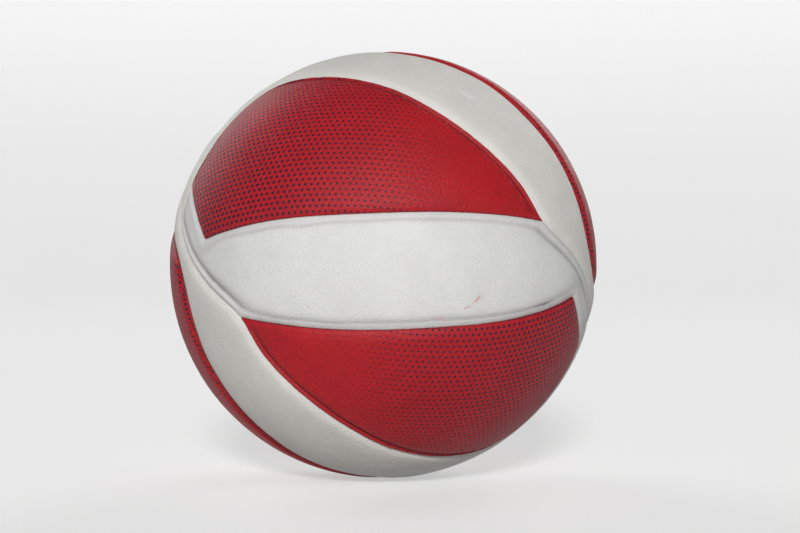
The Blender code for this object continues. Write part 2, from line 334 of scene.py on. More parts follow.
def seam_distance(points, stretches):
    """Distance to the panel's edge with rounded corners, and how much each stretch counts.

    Where two stretches are about as near, the power mean (sum of d ** -k) ** (-1 / k) draws the
    level line round the corner in place of a mitre. A stretch counts by its share of that sum.
    """
    distances = [np.maximum(distance_to(points, line), TINY) for line in stretches]
    near = np.stack([distance**-ROUNDING for distance in distances], axis=1)
    total = near.sum(axis=1, keepdims=True)
    return total[:, 0] ** (-1 / ROUNDING), near / total


print("a panel's grid has", GRID[0] + 1, "by", GRID[1] + 1, "points")

# %% [markdown]
# ## The cross-section of a padded panel
#
# The foam under the leather stops a little short of the seam, and the press leaves a line where
# it ends. From the seam inwards there is a lip that slopes up, the pressed line and then the
# shoulder of the padded crown. Height is therefore a function of the distance to the seam. Each
# stretch of a panel's edge, in the order of its outline, has its own numbers: a valley with a
# raised rim along the tails, a plain slope on bands, hardly anything in the hooks.

# %% Cross-section
# In millimetres: width and drop of the lip; place of the line, its width to the rim and to the
# crown, and its depth; drop and half width of the shoulder. Last, from 0 to 1, the share of dirt
# and painted shade that the line and its rim hold.
PRESS = {
    "long": ((4.0, 1.4, 4.0, 1.0, 1.0, 0.0, 0.6, 3.0, 0.0),) * 4,
    "middle": (
        (3.0, 0.8, 3.4, 1.2, 1.2, 0.0, 0.4, 1.6, 0.0),
        (4.2, 1.1, 3.6, 1.2, 1.7, 0.40, 1.0, 2.0, 0.45),
        (1.8, 0.5, 3.5, 1.3, 2.4, 1.75, 1.1, 2.0, 1.0),
        (3.0, 0.7, 3.9, 1.4, 1.8, 0.5, 0.9, 1.8, 0.5),
    ) * 2,
    "red": (
        (2.2, 1.2, 2.8, 1.2, 0.9, 0.10, 0.7, 1.5, 0.1),
        (1.2, 0.8, 2.4, 1.1, 2.0, 1.60, 0.5, 1.5, 1.0),
        (2.0, 0.7, 2.8, 1.2, 0.9, 0.05, 0.5, 1.5, 0.1),
    ),
}
# Strength, length in metres and turn of the waves in the place of the line, in its depth, in the
# crown and in the puckers, and how far the puckers reach from the seam.
LINE_WAVES = (0.10, 0.030, 0.3)
DEPTH_WAVES = (0.2, 0.045, 1.1)
CROWN_WAVES = (0.00006, 0.035, 2.0)
PUCKER_WAVES = (0.00007, 0.007, 0.8)
PUCKER_REACH = 0.0025
ROLL_POWER = 1.6


def waves(points, strength, length, turn):
    """About plus or minus the strength: twice the mean of six sine waves.

    Direction, pitch and phase go on by a fixed step from each wave to the next, so their sum
    doesn't seem to repeat.
    """
    k = np.arange(6)
    angle = 2.4 * k + turn
    lift = np.cos(1.7 * k + turn)
    level = np.sqrt(1 - lift**2)
    directions = np.stack((level * np.cos(angle), level * np.sin(angle), lift))
    phase = points @ directions * (2 * math.pi * BALL / length) * (0.7 + 0.12 * k)
    return strength * (np.sin(phase + 1.3 * k).mean(axis=1) * 2)


def rolled(inside, width, drop):
    """How far an edge has come down: the full drop at the edge, and none at the width.

    Between them it is the drop times a power of (1 - inside / width).
    """
    return drop * np.clip(1 - inside / width, 0, 1) ** ROLL_POWER


def panel_height(kind, points, stretches):
    """Height over the full radius, distances to seam and line, and the line's dirt and painted
    shade.

    The lip is a power curve. The shoulder is a smooth step (a hyperbolic tangent) at the line, and
    the line itself a bell curve with a width of its own on either side. Slow waves make all of it
    uneven, and quick ones that die out from the seam are the puckers of leather that was pulled
    round an edge by hand.
    """
    away, counts = seam_distance(points, stretches)
    numbers = 0.001 * (counts @ np.array(PRESS[kind])).T
    lip_width, lip_drop, place, to_rim, to_crown, depth, step, step_width, dirt_and_shade = numbers
    from_seam = away * (1 + waves(points, *LINE_WAVES))
    past = from_seam - place
    line = depth * np.exp(-((past / np.where(past < 0, to_rim, to_crown)) ** 2))
    shoulder = step * (1 - np.tanh(past / step_width)) / 2
    pressed = (line + shoulder) * (1 + waves(points, *DEPTH_WAVES))
    puckers = waves(points, *PUCKER_WAVES) * np.exp(-from_seam / PUCKER_REACH)
    uneven = waves(points, *CROWN_WAVES) + puckers
    height = uneven - rolled(from_seam, lip_width, lip_drop) - pressed
    return height, away, past, 1000 * dirt_and_shade


for kind, outline in OUTLINES.items():
    sides, stretches = outline(0, *GRID)
    height = panel_height(kind, patch(*sides).reshape(-1, 3), stretches)[0]
    lowest, highest = np.round(1000 * np.array((height.min(), height.max())), 2)
    print(kind, "panel: heights from", lowest, "to", highest, "mm")

# %% [markdown]
# ## From a grid to a closed panel
#
# A panel is the outer sheet, an inner sheet below it and a wall that joins their edges. Faces
# come from index arithmetic on the grid. One panel has a round hole for the valve. Cutting it
# with a Boolean would leave long thin faces, so a window of cells is left out, and rings of
# points lead from its square border to the circle.

# %% Sheets and slabs
VALVE_HOLE = 0.0058
VALVE_AXIS = np.array((0.0, 1.0, 0.0))
RING_CROWD = 1.6


def loop_round(index):
    """The border of a block of grid points, anticlockwise."""
    return np.concatenate((index[0, :-1], index[:-1, -1], index[-1, :0:-1], index[:0:-1, 0]))


def cells(index):
    """The quads of a block of grid points, anticlockwise seen from outside."""
    return np.stack((index[:-1, :-1], index[:-1, 1:], index[1:, 1:], index[1:, :-1]), axis=-1)


def plain_sheet(grid):
    """Points, quads and borders of a whole grid."""
    index = np.arange(grid.shape[0] * grid.shape[1]).reshape(grid.shape[:2])
    return grid.reshape(-1, 3), cells(index).reshape(-1, 4), [loop_round(index)]


def pierced_sheet(grid, middle, window=0.010, rings=16):
    """Points, quads and borders of a grid with a round hole.

    A ring's point is a mix of a point of the window's border and of the circle's point in the same
    direction, which is the middle turned towards that point by hole radius / ball radius. The
    rings crowd towards the hole by a power.
    """
    rays, _, borders = plain_sheet(grid)
    index = np.arange(len(rays)).reshape(grid.shape[:2])
    near = np.linalg.norm(grid - middle, axis=-1) * BALL < window
    rows = np.nonzero(near.any(axis=1))[0]
    columns = np.nonzero(near.any(axis=0))[0]
    kept = np.ones((len(index) - 1, index.shape[1] - 1), bool)
    kept[rows[0]:rows[-1], columns[0]:columns[-1]] = False
    square = loop_round(index[rows[0]:rows[-1] + 1, columns[0]:columns[-1] + 1])
    outward = unit(rays[square] - (rays[square] @ middle)[:, None] * middle)
    circle = math.cos(VALVE_HOLE / BALL) * middle + math.sin(VALVE_HOLE / BALL) * outward
    share = (1 - (1 - np.linspace(0, 1, rings + 1)[1:]) ** RING_CROWD)[:, None, None]
    ring_points = unit((1 - share) * rays[square] + share * circle)
    ring_index = len(rays) + np.arange(rings * len(square)).reshape(rings, -1)
    ring_index = np.vstack((square, ring_index))
    ring_index = np.hstack((ring_index, ring_index[:, :1]))
    points = np.vstack((rays, ring_points.reshape(-1, 3)))
    quads = np.vstack((cells(index)[kept], cells(ring_index).reshape(-1, 4)))
    return points, quads, [*borders, ring_index[-1, :0:-1]]


def slab(outer, inner, quads, borders):
    """Points and faces of a closed slab.

    It is an outer sheet, an inner one turned over, and a wall along each border.
    """
    count = len(outer)
    ends = [np.roll(border, -1) for border in borders]
    walls = [np.stack((a, a + count, b + count, b), axis=-1) for a, b in zip(borders, ends)]
    return np.vstack((outer, inner)), np.vstack((quads, quads[:, ::-1] + count, *walls))


print("valve hole", VALVE_HOLE * 2000, "mm wide")

# %% [markdown]
# ## Meshes and pieces
#
# The points go into a mesh as whole arrays. Numbers that belong to points, such as the distance
# to the seam, go along as attributes, where the shader can read them. Points that fall together,
# as at a sharp tip, are merged, and loose ones are dropped. Every piece rides on the ball's one
# body and stands for its CAD node.

# %% Meshes and pieces
def smooth_mesh(name, points, faces, **values):
    """A smooth-shaded mesh with one number at each point for each named value."""
    mesh = bpy.data.meshes.new(name)
    mesh.from_pydata(points, [], faces)
    for value, numbers in values.items():
        layer = mesh.attributes.new(value, "FLOAT", "POINT")
        layer.data.foreach_set("value", numbers.astype(np.float32))
    bm = bmesh.new()
    bm.from_mesh(mesh)
    bmesh.ops.remove_doubles(bm, verts=bm.verts, dist=TINY)
    loose = [vertex for vertex in bm.verts if not vertex.link_faces]
    bmesh.ops.delete(bm, geom=loose, context="VERTS")
    bm.to_mesh(mesh)
    bm.free()
    mesh.shade_smooth()
    return mesh


def turned_mesh(name, profile, closed=True, turns=128, axis="Y"):
    """A profile of (radius, height) points carried round an axis.

    A profile that runs anticlockwise faces outwards.
    """
    angle = np.linspace(0, 2 * math.pi, turns, endpoint=False)[:, None]
    radius, height = np.asarray(profile).T
    points = (radius * np.cos(angle), radius * np.sin(angle), height + 0 * angle)
    points = np.stack(points, axis=-1)
    index = np.arange(points.size // 3).reshape(turns, -1)
    index = np.vstack((index, index[:1]))
    index = np.hstack((index, index[:, :1])) if closed else index
    faces = cells(index)[..., (0, 3, 2, 1)].reshape(-1, 4)
    points = np.roll(points, {"Z": 0, "Y": -1}[axis], axis=-1)
    return smooth_mesh(name, points.reshape(-1, 3), faces)


def add_piece(name, mesh, material, node_name):
    """The mesh as an object of the ball, in its finish and in place of its CAD node."""
    mesh.materials.append(material)
    piece = bpy.data.objects.new(name, mesh)
    scene.collection.objects.link(piece)
    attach(piece, "root")
    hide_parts(node_name)
    return piece


print("points within", TINY * 1e6, "micrometres are merged")

# %% [markdown]
# ## Node helper
#
# A shader is a small graph. This helper adds one node, sets its options and either links each
# input to another node's output or writes a plain value into it, so that a material reads from
# top to bottom.

# %% Node helper
def node(tree, kind, options=None, **inputs):
    """Adds a node; inputs are named with _ for a space, or i0, i1 by place."""
    made = tree.nodes.new("ShaderNode" + kind)
    for option, value in (options or {}).items():
        setattr(made, option, value)
    for name, value in inputs.items():
        key = int(name[1:]) if name[1:].isdigit() else name.replace("_", " ")
        socket = made.inputs[key]
        if isinstance(value, bpy.types.NodeSocket):
            tree.links.new(value, socket)
        else:
            socket.default_value = value
    return made.outputs


def maths(tree, operation, first, second=0.0, third=0.0):
    """One step of arithmetic."""
    return node(tree, "Math", {"operation": operation}, i0=first, i1=second, i2=third)[0]


def between(tree, value, low, high, start=0.0, end=1.0):
    """A smooth step: start below low, end above high."""
    options = {"interpolation_type": "SMOOTHSTEP"}
    return node(tree, "MapRange", options, i0=value, i1=low, i2=high, i3=start, i4=end)[0]


def blended(tree, factor, first, second):
    """A mix of two colours."""
    first, second = (
        colour if isinstance(colour, bpy.types.NodeSocket) else (*colour, 1)
        for colour in (first, second)
    )
    return node(tree, "Mix", {"data_type": "RGBA"}, i0=factor, i6=first, i7=second)[2]


def noise(tree, place, size, detail=4.0, roughness=0.5):
    """Cloudy noise whose features are about as large as the size, in metres."""
    options = {"Scale": 1 / size, "Detail": detail, "Roughness": roughness}
    return node(tree, "TexNoise", Vector=place, **options)["Fac"]


def new_material(name):
    """A material with its Principled shader, and its object coordinates in metres."""
    material = bpy.data.materials.new(name)
    material.use_nodes = True
    tree = material.node_tree
    return material, tree, tree.nodes["Principled BSDF"], node(tree, "TexCoord")["Object"]


print("node helper ready")

# %% [markdown]
# ## Leather grain
#
# Ball leather is a coated microfibre with a fine pebble grain. Pebbles about a millimetre across
# are Voronoi cells whose places are shaken by noise. Finer noise gives the tooth between them,
# and slow noise the faint creases. All three add up to one height for a Bump node. Pebbles and
# creases also make the roughness uneven.

# %% Grain
# Pebbles and shakes to a metre, where a pebble's slope starts and ends, and how far the shakes and
# the grain reach, in metres.
PEBBLES = {"Scale": 920.0, "Smoothness": 0.3}
PEBBLE_SLOPE = (0.75, 0.1)
SHAKES = {"Scale": 500.0, "Detail": 2.0}
SHAKE_REACH = 0.0010
GRAIN_HEIGHT = 0.00020
# Size in metres, detail and roughness of the noise for each of these.
TOOTH = (0.0003, 3.0)
CREASES = (0.018, 5.0, 0.62)
TONE = (0.022, 6.0, 0.65)
PATCHES = (0.026, 5.0, 0.65)
# In metres: how far the painted shade of the seam and the dirt and painted shade of the line
# reach, and between which places past the line the painted shade on the rim grows.
SEAM_SHADE = 0.0009
LINE_REACH = 0.0018
RIM_SHADE = (0.0005, -0.0012)


def leather_grain(tree, place, shader, roughness, depth):
    """Links the grain into the shader's normal and roughness; returns the pebble height.

    Height is the pebbles, plus 0.3 times the tooth, plus 3 times the creases. Roughness is the
    given one plus 0.06, less 0.08 times the pebbles, plus 0.1 times the creases.
    """
    shake = node(tree, "TexNoise", Vector=place, **SHAKES)["Color"]
    options = {"operation": "MULTIPLY_ADD"}
    shaken = node(tree, "VectorMath", options, i0=shake, i1=(SHAKE_REACH,) * 3, i2=place)[0]
    pebbles = node(tree, "TexVoronoi", {"feature": "SMOOTH_F1"}, Vector=shaken, **PEBBLES)
    pebbles = between(tree, pebbles["Distance"], *PEBBLE_SLOPE)
    creases = noise(tree, place, *CREASES)
    height = maths(tree, "MULTIPLY_ADD", noise(tree, place, *TOOTH), 0.3, pebbles)
    height = maths(tree, "MULTIPLY_ADD", creases, 3.0, height)
    bump = node(tree, "Bump", Strength=depth, Distance=GRAIN_HEIGHT, Height=height)["Normal"]
    tree.links.new(bump, shader.inputs["Normal"])
    uneven = maths(tree, "MULTIPLY_ADD", pebbles, -0.08, roughness + 0.06)
    uneven = maths(tree, "MULTIPLY_ADD", creases, 0.10, uneven)
    tree.links.new(uneven, shader.inputs["Roughness"])
    return pebbles


def toned(tree, place, colour, least):
    """The colour in slow changes of tone, between its least share and the whole."""
    tone = between(tree, noise(tree, place, *TONE), 0.3, 0.7)
    return blended(tree, tone, tuple(least * c for c in colour), colour)


def darker_gaps(tree, pebbles, colour, dark, most):
    """The colour mixed with a dark one between the pebbles, by most times (1 - pebbles)."""
    gaps = maths(tree, "MULTIPLY_ADD", pebbles, -most, most)
    return blended(tree, gaps, colour, dark)


def soiled_and_shaded(tree, place, colour, seam_shade_colour, dirt_and_shade_colour, least, most, rim_shade):
    """Painted shade at the seam and on the rim, and dirt with painted shade along the pressed
    line.

    The seam's shade colour is mixed in by half at the seam itself. The share of dirt and painted
    shade goes from least to most with the patches, on the rim as in the line.
    """
    away = node(tree, "Attribute", {"attribute_name": "seam_distance"})["Fac"]
    # Painted shade in the seam: the seam's shade colour is mixed in near the seam.
    shade = between(tree, away, SEAM_SHADE, 0.0, 0.0, 0.5)
    colour = blended(tree, shade, colour, seam_shade_colour)
    past = node(tree, "Attribute", {"attribute_name": "line_distance"})["Fac"]
    in_line = between(tree, maths(tree, "ABSOLUTE", past), LINE_REACH, 0.0)
    patches = between(tree, noise(tree, place, *PATCHES), 0.50, 0.70, least, most)
    held = node(tree, "Attribute", {"attribute_name": "dirt_and_shade"})["Fac"]
    # Painted shade on the rim; in the pressed line, dirt with painted shade, both in patches.
    on_rim = between(tree, past, *RIM_SHADE, 0.0, rim_shade)
    dirt_and_shade = maths(tree, "MULTIPLY", maths(tree, "MAXIMUM", in_line, on_rim), held)
    return blended(tree, maths(tree, "MULTIPLY", dirt_and_shade, patches), colour, dirt_and_shade_colour)


print("pebbles of about", round(1000 / PEBBLES["Scale"], 1), "mm")

# %% [markdown]
# ## White leather
#
# The white panels are a cool off-white, a little darker between the pebbles, and the long ones
# have yellowed slightly. Play has left marks: a red scuff on one middle panel, a pink smear and
# grey dirt near its seam, and pale rubs and a scratch on the long panel above. A mark is a thin
# ellipsoid in the ball's own coordinates, found with a Mapping node and broken up by noise.

# %% White leather
WHITE = {"middle": (0.77, 0.768, 0.757), "long": (0.765, 0.748, 0.705)}
# Painted shade at the seam and on the rim, and dirt with painted shade in the pressed line.
WHITE_SOIL_AND_SHADE = {
    "seam_shade_colour": (0.40, 0.365, 0.345), "dirt_and_shade_colour": (0.26, 0.25, 0.235),
    "least": 0.55, "most": 0.80, "rim_shade": 0.3,
}
# Each mark: where it starts and ends, its half width and its colour.
MARKS = (
    ((0.0403, -0.0965, -0.0098), (0.0333, -0.0981, -0.0172), 0.0008, (0.66, 0.30, 0.28)),
    ((0.0347, -0.0978, -0.0158), (0.0300, -0.0991, -0.0176), 0.0006, (0.62, 0.27, 0.26)),
    ((0.0160, -0.1016, -0.0203), (0.0265, -0.0989, -0.0240), 0.0016, (0.72, 0.52, 0.49)),
    ((0.0629, -0.0820, -0.0183), (0.0776, -0.0691, -0.0148), 0.0012, (0.27, 0.26, 0.25)),
)
RUBS = (
    ((0.0310, -0.0545, 0.0842), (0.0425, -0.0571, 0.0773), 0.0022, (0.80, 0.795, 0.77)),
    ((0.0175, -0.0643, 0.0812), (0.0216, -0.0644, 0.0800), 0.0009, (0.81, 0.805, 0.78)),
    ((0.0272, -0.0539, 0.0859), (0.0460, -0.0624, 0.0708), 0.0006, (0.55, 0.54, 0.515)),
)
MARK_DEPTH = 0.003
RAGGED = (0.0016, 4.0, 0.7)


def marked(tree, place, colour, start, end, width, stain):
    """The colour with a stain inside an ellipsoid from start to end, strongest at its middle.

    The distance from the middle, 1 at the ellipsoid, has 1.6 times a noise added. The stain grows
    as that sum falls from 1.75 to 0.9.
    """
    start, end = Vector(start), Vector(end)
    where = {
        "Location": (start + end) / 2,
        "Rotation": (end - start).to_track_quat("X", "Z").to_euler(),
        "Scale": ((end - start).length / 2, MARK_DEPTH, width),
    }
    inside = node(tree, "Mapping", {"vector_type": "TEXTURE"}, Vector=place, **where)[0]
    reach = node(tree, "VectorMath", {"operation": "LENGTH"}, i0=inside)["Value"]
    ragged = maths(tree, "MULTIPLY_ADD", noise(tree, place, *RAGGED), 1.6, reach)
    return blended(tree, between(tree, ragged, 1.75, 0.9, 0.0, 0.85), colour, stain)


def white_leather(name, kind, marks):
    """White leather with slow changes of tone, darker between its pebbles, with dirt, painted
    shade, marks.
    """
    material, tree, shader, place = new_material(name)
    white = WHITE[kind]
    pebbles = leather_grain(tree, place, shader, roughness=0.54, depth=0.50)
    colour = toned(tree, place, white, least=0.92)
    colour = darker_gaps(tree, pebbles, colour, tuple(0.72 * c for c in white), most=0.18)
    # Painted shade at the seam and on the rim, and dirt with painted shade in the pressed line.
    colour = soiled_and_shaded(tree, place, colour, **WHITE_SOIL_AND_SHADE)
    for mark in marks:
        colour = marked(tree, place, colour, *mark)
    tree.links.new(colour, shader.inputs["Base Color"])
    shader.inputs["Specular IOR Level"].default_value = 0.30
    return material


leather = {
    "long": white_leather("yellowed_white_leather", "long", RUBS),
    "middle": white_leather("white_leather", "middle", MARKS),
}
print("white leather with", len(leather["middle"].node_tree.nodes), "nodes")

# %% [markdown]
# ## Red leather with a printed fade
#
# The red panels carry a dark blue halftone that is dense at the blunt end and runs out towards
# the sharp tip. It is a plain pattern of dots in staggered rows, made of two grids. Each grid has
# its rows the square root of 3 steps apart, and one lies half a row and half a step aside, so
# every dot has six others one step away. The radius is taken at the middle of each dot, so that
# dots stay round while they shrink.

# %% Red leather
RED = (0.515, 0.013, 0.020)
# Painted shade at the seam, and dirt with painted shade in the pressed line; none on the rim.
RED_SOIL_AND_SHADE = {
    "seam_shade_colour": (0.20, 0.013, 0.018), "dirt_and_shade_colour": (0.15, 0.011, 0.015),
    "least": 0.45, "most": 0.75, "rim_shade": 0.0,
}
RED_GAPS = (0.12, 0.010, 0.014)
BLUE = (0.008, 0.012, 0.034)
# Step of the dots in metres; in steps, the blur of their edge, a grid's rows apart, and the
# radius of a dot at three places along the panel.
DOT_STEP = 0.0030
DOT_BLUR = 0.04
ROW_STEPS = math.sqrt(3)
DOT_FADE = ((0.006, 0.33), (0.110, 0.18), (0.152, 0.0))


def dots(tree, along, across, offset):
    """How far a place lies inside its dot, in steps: radius minus distance to the middle.

    The radius is the lesser of two straight lines along the panel, one from the first place to the
    second and a steeper one from the second to the third.
    """
    column = maths(tree, "ADD", maths(tree, "DIVIDE", along, DOT_STEP), offset)
    row = maths(tree, "ADD", maths(tree, "DIVIDE", across, DOT_STEP * ROW_STEPS), offset)
    right = maths(tree, "SUBTRACT", maths(tree, "FRACT", column), 0.5)
    up = maths(tree, "SUBTRACT", maths(tree, "FRACT", row), 0.5)
    up = maths(tree, "MULTIPLY", up, ROW_STEPS)
    squares = maths(tree, "MULTIPLY", up, up)
    squares = maths(tree, "ADD", maths(tree, "MULTIPLY", right, right), squares)
    middle = maths(tree, "SUBTRACT", column, maths(tree, "ADD", right, offset))
    middle = maths(tree, "MULTIPLY", middle, DOT_STEP)
    (first, large), (second, small), (last, none) = DOT_FADE
    radius = node(tree, "MapRange", i0=middle, i1=first, i2=second, i3=large, i4=small)[0]
    options = {"clamp": False}
    fading = node(tree, "MapRange", options, i0=middle, i1=second, i2=last, i3=small, i4=none)[0]
    radius = maths(tree, "MINIMUM", radius, fading)
    return maths(tree, "SUBTRACT", radius, maths(tree, "SQRT", squares))


def red_leather():
    """Red leather with its halftone, which reads how far along and across its panel a place is."""
    material, tree, shader, place = new_material("red_leather")
    pebbles = leather_grain(tree, place, shader, roughness=0.48, depth=0.60)
    along = node(tree, "Attribute", {"attribute_name": "along"})["Fac"]
    across = node(tree, "Attribute", {"attribute_name": "across"})["Fac"]
    inside = [dots(tree, along, across, offset) for offset in (0.0, 0.5)]
    inside = maths(tree, "MAXIMUM", *inside)
    colour = toned(tree, place, RED, least=0.86)
    colour = blended(tree, between(tree, inside, -DOT_BLUR, DOT_BLUR), colour, BLUE)
    colour = darker_gaps(tree, pebbles, colour, RED_GAPS, most=0.28)
    # Painted shade at the seam, and dirt with painted shade in the pressed line.
    colour = soiled_and_shaded(tree, place, colour, **RED_SOIL_AND_SHADE)
    tree.links.new(colour, shader.inputs["Base Color"])
    shader.inputs["Specular IOR Level"].default_value = 0.26
    return material


leather["red"] = red_leather()
print("red leather with", len(leather["red"].node_tree.nodes), "nodes")

# %% [markdown]
# ## Cover panels
#
# Each kind is worked out once in the pole frame and then turned to its places by a matrix, which
# is far quicker than working out all twelve. Print is placed along the great circle from the
# middle of a panel's blunt end to its tip. The second long panel is worked out once more with the
# valve hole, where the leather dips and its edge rolls in.

# %% Cover panels
# Thickness of the leather and half the gap of a seam, in metres.
LEATHER = 0.0008
SEAM_HALF = 0.00005
VALVED = "long_2"
# Depth and reach of the dip round the valve, and width and drop of the hole's rolled edge.
DIP = 0.0005
DIP_REACH = 0.004
HOLE_ROLL = (0.0008, 0.0006)
TILT = math.radians(65)
POLE_TO_BALL = np.array((
    (0, -1, 0),
    (math.cos(TILT), 0, math.sin(TILT)),
    (-math.sin(TILT), 0, math.cos(TILT)),
))


def panels():
    """Each panel's kind, its name and the matrix from its pole frame to the ball."""
    for kind in OUTLINES:
        halves = (1, -1) if kind == "red" else (1,)
        places = [(degrees, half) for degrees in (0, THIRD, 2 * THIRD) for half in halves]
        for number, (degrees, half) in enumerate(places, 1):
            turn = np.diag((1, half, half)) @ turned(np.eye(3), degrees)
            yield kind, f"{kind}_{number}", turn @ POLE_TO_BALL


def way_along(points, start, end):
    """Metres along and across the great circle from one place to another."""
    ahead = unit(end - start * (start @ end))
    along = BALL * np.arctan2(points @ ahead, points @ start)
    return along, BALL * np.arcsin(points @ np.cross(start, ahead))


def valve_dip(points, place):
    """How far leather and foam come down at the valve: a bell-shaped dip and a rolled edge."""
    edge = BALL * np.linalg.norm(points - place @ VALVE_AXIS, axis=1) - VALVE_HOLE
    dip = DIP * np.exp(-((edge / DIP_REACH) ** 2))
    return dip + rolled(np.maximum(edge, 0), *HOLE_ROLL)


def sheet(kind, inset, columns, rows, place=None):
    """The sides of a panel, its stretches, and its rays, quads and borders.

    With the matrix to its place on the ball, it is pierced for the valve.
    """
    sides, stretches = OUTLINES[kind](inset, columns, rows)
    grid = patch(*sides)
    made = plain_sheet(grid) if place is None else pierced_sheet(grid, place @ VALVE_AXIS)
    return sides, stretches, *made


def cover(kind, place=None):
    """A cover panel in its pole frame: points, faces and the numbers that its finish reads."""
    sides, stretches, rays, quads, borders = sheet(kind, SEAM_HALF, *GRID, place)
    height, away, past, dirt_and_shade = panel_height(kind, rays, stretches)
    height = height - (0 if place is None else valve_dip(rays, place))
    outer = rays * (BALL + height)[:, None]
    points, faces = slab(outer, outer - LEATHER * rays, quads, borders)
    blunt, tip = (unit(side.mean(axis=0)) for side in sides[2:])
    along, across = way_along(rays, blunt, tip)
    # The last number of PRESS goes along as the share of dirt and painted shade in the line.
    values = {
        "seam_distance": away, "line_distance": past, "dirt_and_shade": dirt_and_shade,
        "along": along, "across": across,
    }
    return points, faces, {name: np.tile(numbers, 2) for name, numbers in values.items()}


shapes = {kind: cover(kind) for kind in OUTLINES}
for kind, name, place in panels():
    points, faces, values = cover(kind, place) if name == VALVED else shapes[kind]
    mesh = smooth_mesh("leather_" + name, points @ place, faces, **values)
    finish = "red_leather" if kind == "red" else "white_leather"
    add_piece("leather_" + name, mesh, leather[kind], "cover_" + name)
    print("leather_" + name, len(mesh.polygons), "faces")

# %% [markdown]
# ## Foam pads
#
# Under each panel lies a thin pad of closed-cell foam, cut 4.5 mm smaller all round. Its top
# follows the leather's underside and its edge is rounded where the press has crushed it. It is
# cut from the same patch with a larger inset, so it can't stray outside its panel. The finish is
# pale foam with small round cells.

# %% Foam pads
FOAM = ((0.80, 0.77, 0.68), (0.86, 0.84, 0.78))
FOAM_WALLS = (0.60, 0.56, 0.47)
# Columns and rows of a pad. Then in metres: how far it ends inside the seam, the radius that it
# lies on, its slack under the leather, its least thickness, and width and drop of its round edge.
PAD_GRID = (160, 32)
PAD_INSET = 0.0045
PAD_FLOOR = 0.1014
PAD_SLACK = 0.0002
PAD_LEAST = 0.0001
PAD_ROLL = (0.0008, 0.0003)


def foam_finish():
    """Pale foam: Voronoi cells for the bubbles, and noise for the tone."""
    material, tree, shader, place = new_material("backing_foam")
    bubbles = node(tree, "TexVoronoi", Vector=place, Scale=1600.0)["Distance"]
    tone = between(tree, noise(tree, place, 0.012), 0.3, 0.7)
    colour = blended(tree, tone, *FOAM)
    walls = between(tree, bubbles, 0.45, 0.05, 0.0, 0.5)
    colour = blended(tree, walls, colour, FOAM_WALLS)
    tree.links.new(colour, shader.inputs["Base Color"])
    bump = node(tree, "Bump", Strength=0.6, Distance=0.0002, Height=bubbles)["Normal"]
    tree.links.new(bump, shader.inputs["Normal"])
    shader.inputs["Roughness"].default_value = 0.92
    return material


def pad(kind, place=None):
    """A pad in its pole frame: points and faces."""
    _, _, rays, quads, borders = sheet(kind, PAD_INSET, *PAD_GRID, place)
    _, stretches = OUTLINES[kind](0, *GRID)
    height, away, _, _ = panel_height(kind, rays, stretches)
    height = height - (0 if place is None else valve_dip(rays, place))
    edge = rolled(np.maximum(away - PAD_INSET, 0), *PAD_ROLL)
    top = np.maximum(BALL + height - LEATHER - PAD_SLACK - edge, PAD_FLOOR + PAD_LEAST)
    return slab(rays * top[:, None], rays * PAD_FLOOR, quads, borders)


foam = foam_finish()
pads = {kind: pad(kind) for kind in OUTLINES}
for kind, name, place in panels():
    points, faces = pad(kind, place) if name == VALVED else pads[kind]
    mesh = smooth_mesh("foam_" + name, points @ place, faces)
    piece = add_piece("foam_" + name, mesh, foam, "pad_" + name)
    print(piece.name, len(mesh.polygons), "faces")

# %% [markdown]
# ## Rubber layer, winding and bladder
#
# Inside, the panels are glued to a rubber layer over a bladder that has been wound with
# kilometres of nylon thread. Each layer is a thin round shell with one hole for the valve: a
# profile carried round the valve's axis. The thread is far too fine to model, so its finish draws
# it: three sets of bands that run in different directions.

# %% Inner layers
BLOOM = (0.22, 0.22, 0.21)
THREAD = ((0.34, 0.31, 0.26), (0.82, 0.80, 0.74))
THREAD_TURNS = (0.3, 1.4, 2.5)
THREAD_WAVE = {"Scale": 420.0, "Distortion": 1.5, "Detail": 1.0, "Detail_Scale": 0.03}


def shell_profile(outer, thickness, steps=96):
    """Up the outside from the far pole to the valve hole, and down the inside again: two arcs."""
    radii = np.array((outer, outer - thickness))[:, None]
    angle = np.linspace(math.pi, np.arcsin(VALVE_HOLE / radii[:, 0]), steps + 1).T
    arcs = np.stack((radii * np.sin(angle), radii * np.cos(angle)), axis=-1)
    arcs[:, 0, 0] = 0
    return np.vstack((arcs[0], arcs[1, ::-1]))


def rubber_finish(name, colour, roughness, bloom):
    """Dark rubber, with a pale bloom in clouds and a fine moulded tooth."""
    material, tree, shader, place = new_material(name)
    clouds = between(tree, noise(tree, place, 0.014, 5.0, 0.6), 0.45, 0.75, 0.0, bloom)
    colour = blended(tree, clouds, colour, BLOOM)
    tree.links.new(colour, shader.inputs["Base Color"])
    tooth = noise(tree, place, 0.0005, 3.0)
    uneven = maths(tree, "MULTIPLY_ADD", tooth, 0.18, roughness - 0.09)
    tree.links.new(uneven, shader.inputs["Roughness"])
    bump = node(tree, "Bump", Strength=0.4, Distance=0.00008, Height=tooth)["Normal"]
    tree.links.new(bump, shader.inputs["Normal"])
    return material


def thread_finish():
    """Wound thread: the highest of three sets of bands shows, dark at the edges of its bands."""
    material, tree, shader, place = new_material("wound_thread")
    height = 0.0
    for turn in THREAD_TURNS:
        placed = node(tree, "Mapping", Vector=place, Rotation=(turn, 0.7 * turn, 1.9 * turn))[0]
        wave = node(tree, "TexWave", Vector=placed, **THREAD_WAVE)["Fac"]
        wave = maths(tree, "MULTIPLY", wave, noise(tree, placed, 0.02))
        height = maths(tree, "MAXIMUM", wave, height)
    crest = between(tree, height, 0.1, 0.45)
    colour = blended(tree, crest, *THREAD)
    tree.links.new(colour, shader.inputs["Base Color"])
    bump = node(tree, "Bump", Strength=0.8, Distance=0.0003, Height=height)["Normal"]
    tree.links.new(bump, shader.inputs["Normal"])
    shader.inputs["Roughness"].default_value = 0.55
    return material


